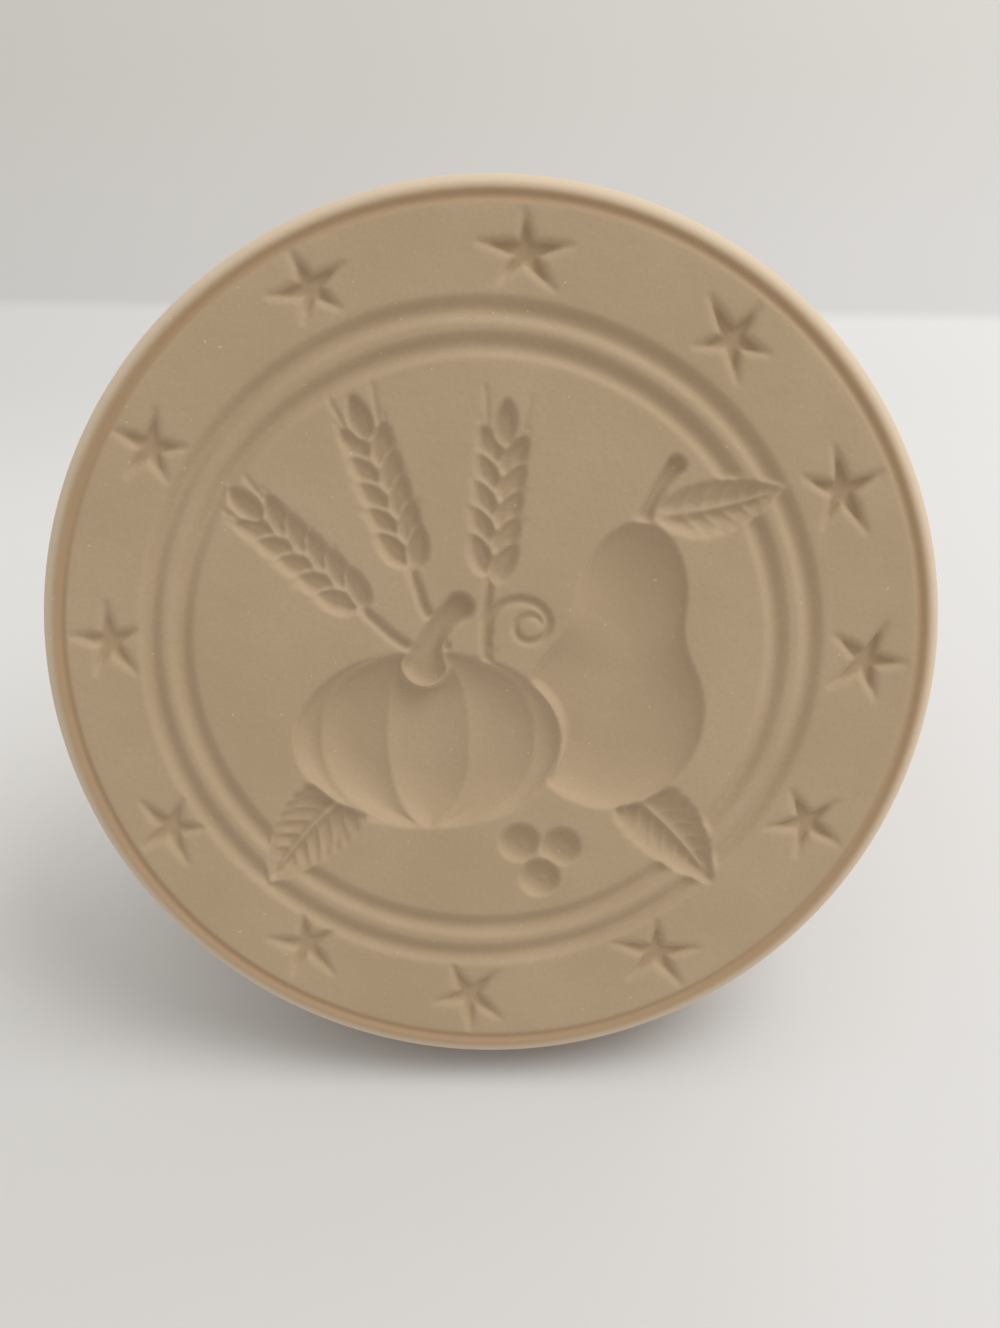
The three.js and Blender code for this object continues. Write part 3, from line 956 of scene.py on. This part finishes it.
def wood_material(name, pale, dark):
    """Turned wood with its grain along the knob: growth rings, fine streaks and short flecks."""
    nodes = Nodes(name)
    place = stamp_coordinates(nodes)

    def moved(**settings):
        """The place, moved, turned or stretched."""
        return nodes.add("ShaderNodeMapping", {"Vector": place, **settings}).outputs["Vector"]

    rings = nodes.add(
        "ShaderNodeTexWave",
        {
            "Vector": moved(Location=(0.011, 0.024, 0), Rotation=(0.09, 0.05, 0)),
            "Scale": 105,
            "Distortion": 2.2,
            "Detail": 2,
            "Detail Scale": 0.5,
        },
        wave_type="RINGS",
        rings_direction="Z",
        wave_profile="SAW",
    ).outputs["Fac"]
    streak = nodes.noise(moved(Scale=(1, 1, 0.06)), scale=1500, detail=3, roughness=0.65)
    fleck = nodes.noise(moved(Scale=(1, 1, 0.2)), scale=1500, detail=1, roughness=0.5)
    colour = nodes.mix(nodes.spread(rings, 0.1, 1.0, 0.0, 0.55), pale, dark)
    colour = nodes.mix(nodes.spread(streak, 0.42, 0.72, 0.0, 0.55), colour, dark)
    colour = nodes.mix(nodes.spread(fleck, 0.66, 0.72, 0.0, 0.5), colour, rgb(150, 104, 66))
    return nodes.shade(
        Base_Color=colour,
        Roughness=0.48,
        Normal=nodes.bump(streak, strength=0.25, distance=0.1 * MM),
    )


def glue_material():
    """Amber glue, a little cloudy."""
    nodes = Nodes("cured_glue")
    place = stamp_coordinates(nodes)
    clouds = nodes.noise(place, scale=900, detail=2, roughness=0.5)
    cloudy = nodes.spread(clouds, 0.3, 0.7)
    amber = nodes.mix(cloudy, rgb(214, 190, 138), rgb(190, 160, 104))
    return nodes.shade(Base_Color=amber, Roughness=0.28)


# Knob, glue and dowel

TURNED_STEPS = 192
# Rows of points on each stretch of the knob's outline and on the glue's bead.
BEAD_ROWS = 22
NECK_ROWS = 22
WAIST_ROWS = 30
DOME_ROWS = 34
GLUE_ROWS = 12


def bezier(start, first, second, end, steps):
    """Points on a curve after its start, pulled towards the first and then the second place."""
    run = []
    for k in range(1, steps + 1):
        t = k / steps
        weights = ((1 - t) ** 3, 3 * t * (1 - t) ** 2, 3 * t * t * (1 - t), t ** 3)
        corners = (start, first, second, end)
        run.append(tuple(sum(w * c[n] for w, c in zip(weights, corners)) for n in (0, 1)))
    return run


def knob_outline():
    """(radius, height above the foot) from the foot round the knob to the middle of its end."""
    foot = (FOOT_RADIUS, 0)
    foot_low = (FOOT_BEAD + FOOT_PULL["out"], FOOT_PULL["low"])
    foot_high = (FOOT_BEAD + FOOT_PULL["out"], FOOT_HEIGHT - FOOT_PULL["high"])
    bead = (NECK_RADIUS + FOOT_LIP["out"], FOOT_HEIGHT - FOOT_LIP["down"])
    neck = (NECK_RADIUS, FOOT_HEIGHT)
    over_neck = (NECK_RADIUS - NECK_PULL["inwards"], FOOT_HEIGHT + NECK_PULL["up"])
    under_waist = (WAIST_RADIUS, WAIST_HEIGHT - WAIST_PULL["below"])
    waist = (WAIST_RADIUS, WAIST_HEIGHT)
    over_waist = (WAIST_RADIUS, WAIST_HEIGHT + WAIST_PULL["above"])
    under_grip = (GRIP_RADIUS, GRIP_HEIGHT - GRIP_PULL["below"])
    grip = (GRIP_RADIUS, GRIP_HEIGHT)
    over_grip = (GRIP_RADIUS, GRIP_HEIGHT + GRIP_PULL["above"])
    dome = (GRIP_RADIUS - GRIP_PULL["inwards"], KNOB_LENGTH)
    end = (0, KNOB_LENGTH)
    return [
        foot,
        *bezier(foot, foot_low, foot_high, bead, BEAD_ROWS),
        neck,
        *bezier(neck, over_neck, under_waist, waist, NECK_ROWS),
        *bezier(waist, over_waist, under_grip, grip, WAIST_ROWS),
        *bezier(grip, over_grip, dome, end, DOME_ROWS),
    ]


def make_turned(name, profile, material):
    """A closed solid turned from (radius, depth) points that start and end on the axis."""
    (_, first), *rings_at, (_, last) = profile
    points = [*turn_rings(rings_at, TURNED_STEPS), (0, 0, -first), (0, 0, -last)]
    start = len(rings_at) * TURNED_STEPS
    rings = [list(range(k, k + TURNED_STEPS)) for k in range(0, start, TURNED_STEPS)]
    faces = []
    for one, other in zip(rings, rings[1:]):
        faces += join_rings(one, other)
    faces += fan(rings[0], start) + fan(rings[-1], start + 1)
    return add_mesh(name, points, faces, material)


def make_knob(material):
    """The turned knob, with its blind hole for the dowel."""
    hole = DOWEL_RADIUS + FIT_GAP
    hole_end = FOOT_PLANE + HOLE_DEPTH
    profile = [
        (0, hole_end + DRILL_TIP_SHARE * hole),
        (hole, hole_end),
        (hole, FOOT_PLANE),
        *[(radius, FOOT_PLANE + height) for radius, height in knob_outline()],
    ]
    knob = make_turned("turned_knob", profile, material)
    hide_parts("handle_knob")


def make_glue(material):
    """The cured glue, with a brim that fills the seam between boss and foot."""
    cup = SOCKET_RADIUS - FIT_GAP
    bore = DOWEL_RADIUS + FIT_GAP
    cup_floor = SOCKET_FLOOR + FIT_GAP
    low = BOSS_TOP + SEAM
    high = FOOT_PLANE - SEAM
    brim = FOOT_RADIUS - BRIM_INSET
    profile = [
        (0, cup_floor),
        (cup, cup_floor),
        (cup, low),
        (brim - BRIM_FLAT, low),
        *arc(brim, (low + high) / 2, GLUE_BEAD, (high - low) / 2, -90, 90, GLUE_ROWS),
        (brim - BRIM_FLAT, high),
        (bore, high),
        (bore, cup_floor + GLUE_FLOOR),
        (0, cup_floor + GLUE_FLOOR),
    ]
    glue = make_turned("glue_bead", profile, material)
    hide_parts("epoxy_bond")


# Floor, wall, camera and lamps

PHOTO = (1000, 1328)
FOCAL_PIXELS = 1150
# The face's middle and its outward direction, seen by the camera: right, down, and away.
SEEN_FACE = Vector((-0.64, -0.94, 91.61)) * MM
SEEN_OUT = Vector((0.006, 0.234, -1)).normalized()
FLOOR_DROP = 0.05 * MM


def add_camera():
    """The camera whose place and pitch put the face where the photo shows it."""
    lean = math.asin(OUT.z)
    pitch = lean + math.atan2(SEEN_OUT.y, -SEEN_OUT.z)
    yaw = math.atan2(-SEEN_OUT.x, -SEEN_OUT.z)
    right = Vector((math.cos(yaw), math.sin(yaw), 0))
    ahead = Vector((-math.sin(yaw), math.cos(yaw), 0))
    away = ahead * math.cos(pitch) + Vector((0, 0, -math.sin(pitch)))
    down = away.cross(right)
    place = FACE - right * SEEN_FACE.x - down * SEEN_FACE.y - away * SEEN_FACE.z
    axes = Matrix((right, -down, -away)).transposed().to_4x4()
    data = bpy.data.cameras.new("camera")
    data.lens = FOCAL_PIXELS / PHOTO[1] * data.sensor_width
    data.clip_start = MM
    camera = bpy.data.objects.new("camera", data)
    camera.matrix_world = Matrix.Translation(place) @ axes
    bpy.context.scene.collection.objects.link(camera)
    bpy.context.scene.camera = camera
    return camera


def room_material():
    """A matt white with painted light and shade: darker high up, darker and warmer on the wall,
    lighter to the right and next to the stamp, and a painted shadow in front.
    """
    nodes = Nodes("room_white")
    place = nodes.add("ShaderNodeTexCoord").outputs["Object"]
    parts = nodes.add("ShaderNodeSeparateXYZ", {"Vector": place}).outputs
    # Places in the room, in metres: to the right, away from the camera, and up.
    right = parts["X"]
    away = parts["Y"]
    up = parts["Z"]
    # Painted light: the white lighter towards the right.
    painted_light_right = nodes.spread(right, -0.2, 0.3)
    # Painted shade: the white darker high up.
    painted_shade_high = nodes.spread(up, 0.12, 0.45)
    # Painted shade: the wall darker and warmer.
    painted_shade_wall = nodes.spread(up, 0.0, 0.045, 0.0, 0.14)
    # Painted light: the floor paler beside the stamp.
    past_rim = nodes.spread(away, -0.04, -0.01)
    not_far = nodes.spread(away, 0.05, 0.11, 1.0, 0.0)
    more_left = nodes.spread(right, -0.06, 0.06, 0.2, 0.06)
    beside = nodes.product(nodes.product(past_rim, not_far), more_left)
    # Painted shadow: the floor darker in front of the stamp.
    near = nodes.spread(away, -0.050, -0.027, 1.0, 0.0)
    in_front = nodes.product(near, nodes.spread(right, 0.005, 0.035, 0.1, 0.0))
    colour = nodes.mix(painted_light_right, rgb(191, 190, 188), rgb(208, 207, 207))
    colour = nodes.mix(painted_shade_high, colour, rgb(158, 157, 155))
    colour = nodes.mix(painted_shade_wall, colour, rgb(168, 159, 128))
    colour = nodes.mix(beside, colour, rgb(232, 232, 231))
    colour = nodes.mix(in_front, colour, rgb(150, 146, 138))
    return nodes.shade(Base_Color=colour, Roughness=0.9)


# Where the photo shows the wall's foot at its left and right edges, in its own pixels.
WALL_FOOT = ((0, 308), (1000, 322))
WALL_SLOPE = math.radians(50)
WALL_LENGTH = 1.0
ROOM_REACH = 2.0
COVE = 0.005
COVE_STEPS = 10


def floor_point(camera, pixel):
    """The point of the floor that a pixel of the photo shows."""
    x = (pixel[0] - PHOTO[0] / 2) / FOCAL_PIXELS
    y = (pixel[1] - PHOTO[1] / 2) / FOCAL_PIXELS
    ray = camera.matrix_world.to_3x3() @ Vector((x, -y, -1))
    place = camera.matrix_world.translation
    return place - ray * ((place.z + FLOOR_DROP) / ray.z)


def add_room(camera):
    """A pale floor that bends up into a sloping pale wall."""
    left, right = [floor_point(camera, pixel) for pixel in WALL_FOOT]
    along = (right - left).normalized()
    away = Vector((-along.y, along.x, 0))
    bend = [WALL_SLOPE * k / COVE_STEPS for k in range(COVE_STEPS + 1)]
    start = COVE * math.tan(WALL_SLOPE / 2)
    section = [
        (-ROOM_REACH, 0),
        *[(COVE * math.sin(a) - start, COVE * (1 - math.cos(a))) for a in bend],
        (WALL_LENGTH * math.cos(WALL_SLOPE), WALL_LENGTH * math.sin(WALL_SLOPE)),
    ]
    points = []
    for distance, height in section:
        base = left + away * distance + Vector((0, 0, height))
        points += [base - along * ROOM_REACH, base + along * ROOM_REACH]
    faces = [(2 * k, 2 * k + 1, 2 * k + 3, 2 * k + 2) for k in range(len(section) - 1)]
    mesh = bpy.data.meshes.new("room")
    mesh.from_pydata(points, [], faces)
    mesh.shade_smooth()
    mesh.materials.append(room_material())
    room = bpy.data.objects.new("room", mesh)
    bpy.context.scene.collection.objects.link(room)


LAMP_TARGET = Vector((0, 0, 0.03))


def add_lamp(name, place, size, power, colour):
    """A round lamp that faces the stamp."""
    data = bpy.data.lights.new(name, "AREA")
    data.shape = "DISK"
    data.size = size
    data.energy = power
    data.color = colour
    lamp = bpy.data.objects.new(name, data)
    lamp.location = place
    lamp.rotation_euler = (LAMP_TARGET - Vector(place)).to_track_quat("-Z", "Y").to_euler()
    bpy.context.scene.collection.objects.link(lamp)


def add_lights():
    """A pale sky all round, and two lamps high on the right."""
    world = bpy.data.worlds.new("world")
    world.use_nodes = True
    sky = world.node_tree.nodes["Background"]
    sky.inputs["Color"].default_value = (1.0, 0.98, 0.95, 1)
    sky.inputs["Strength"].default_value = 0.8
    bpy.context.scene.world = world
    add_lamp("window", (0.62, 0.30, 1.08), size=0.95, power=5.5, colour=(1.0, 1.0, 1.0))
    add_lamp("ceiling", (0.47, -0.03, 0.80), size=0.6, power=3.2, colour=(0.98, 0.99, 1.0))


camera = add_camera()
make_head(clay_material())
beech = wood_material("beech", rgb(214, 178, 134), rgb(186, 143, 98))
make_knob(beech)
make_glue(glue_material())
dowel_wood = wood_material("dowel_wood", rgb(224, 192, 150), rgb(198, 158, 112))
frame["nodes"]["dowel_pin"].material_slots[0].material = dowel_wood
add_room(camera)
add_lights()

view = bpy.context.scene.view_settings
view.view_transform = "Standard"
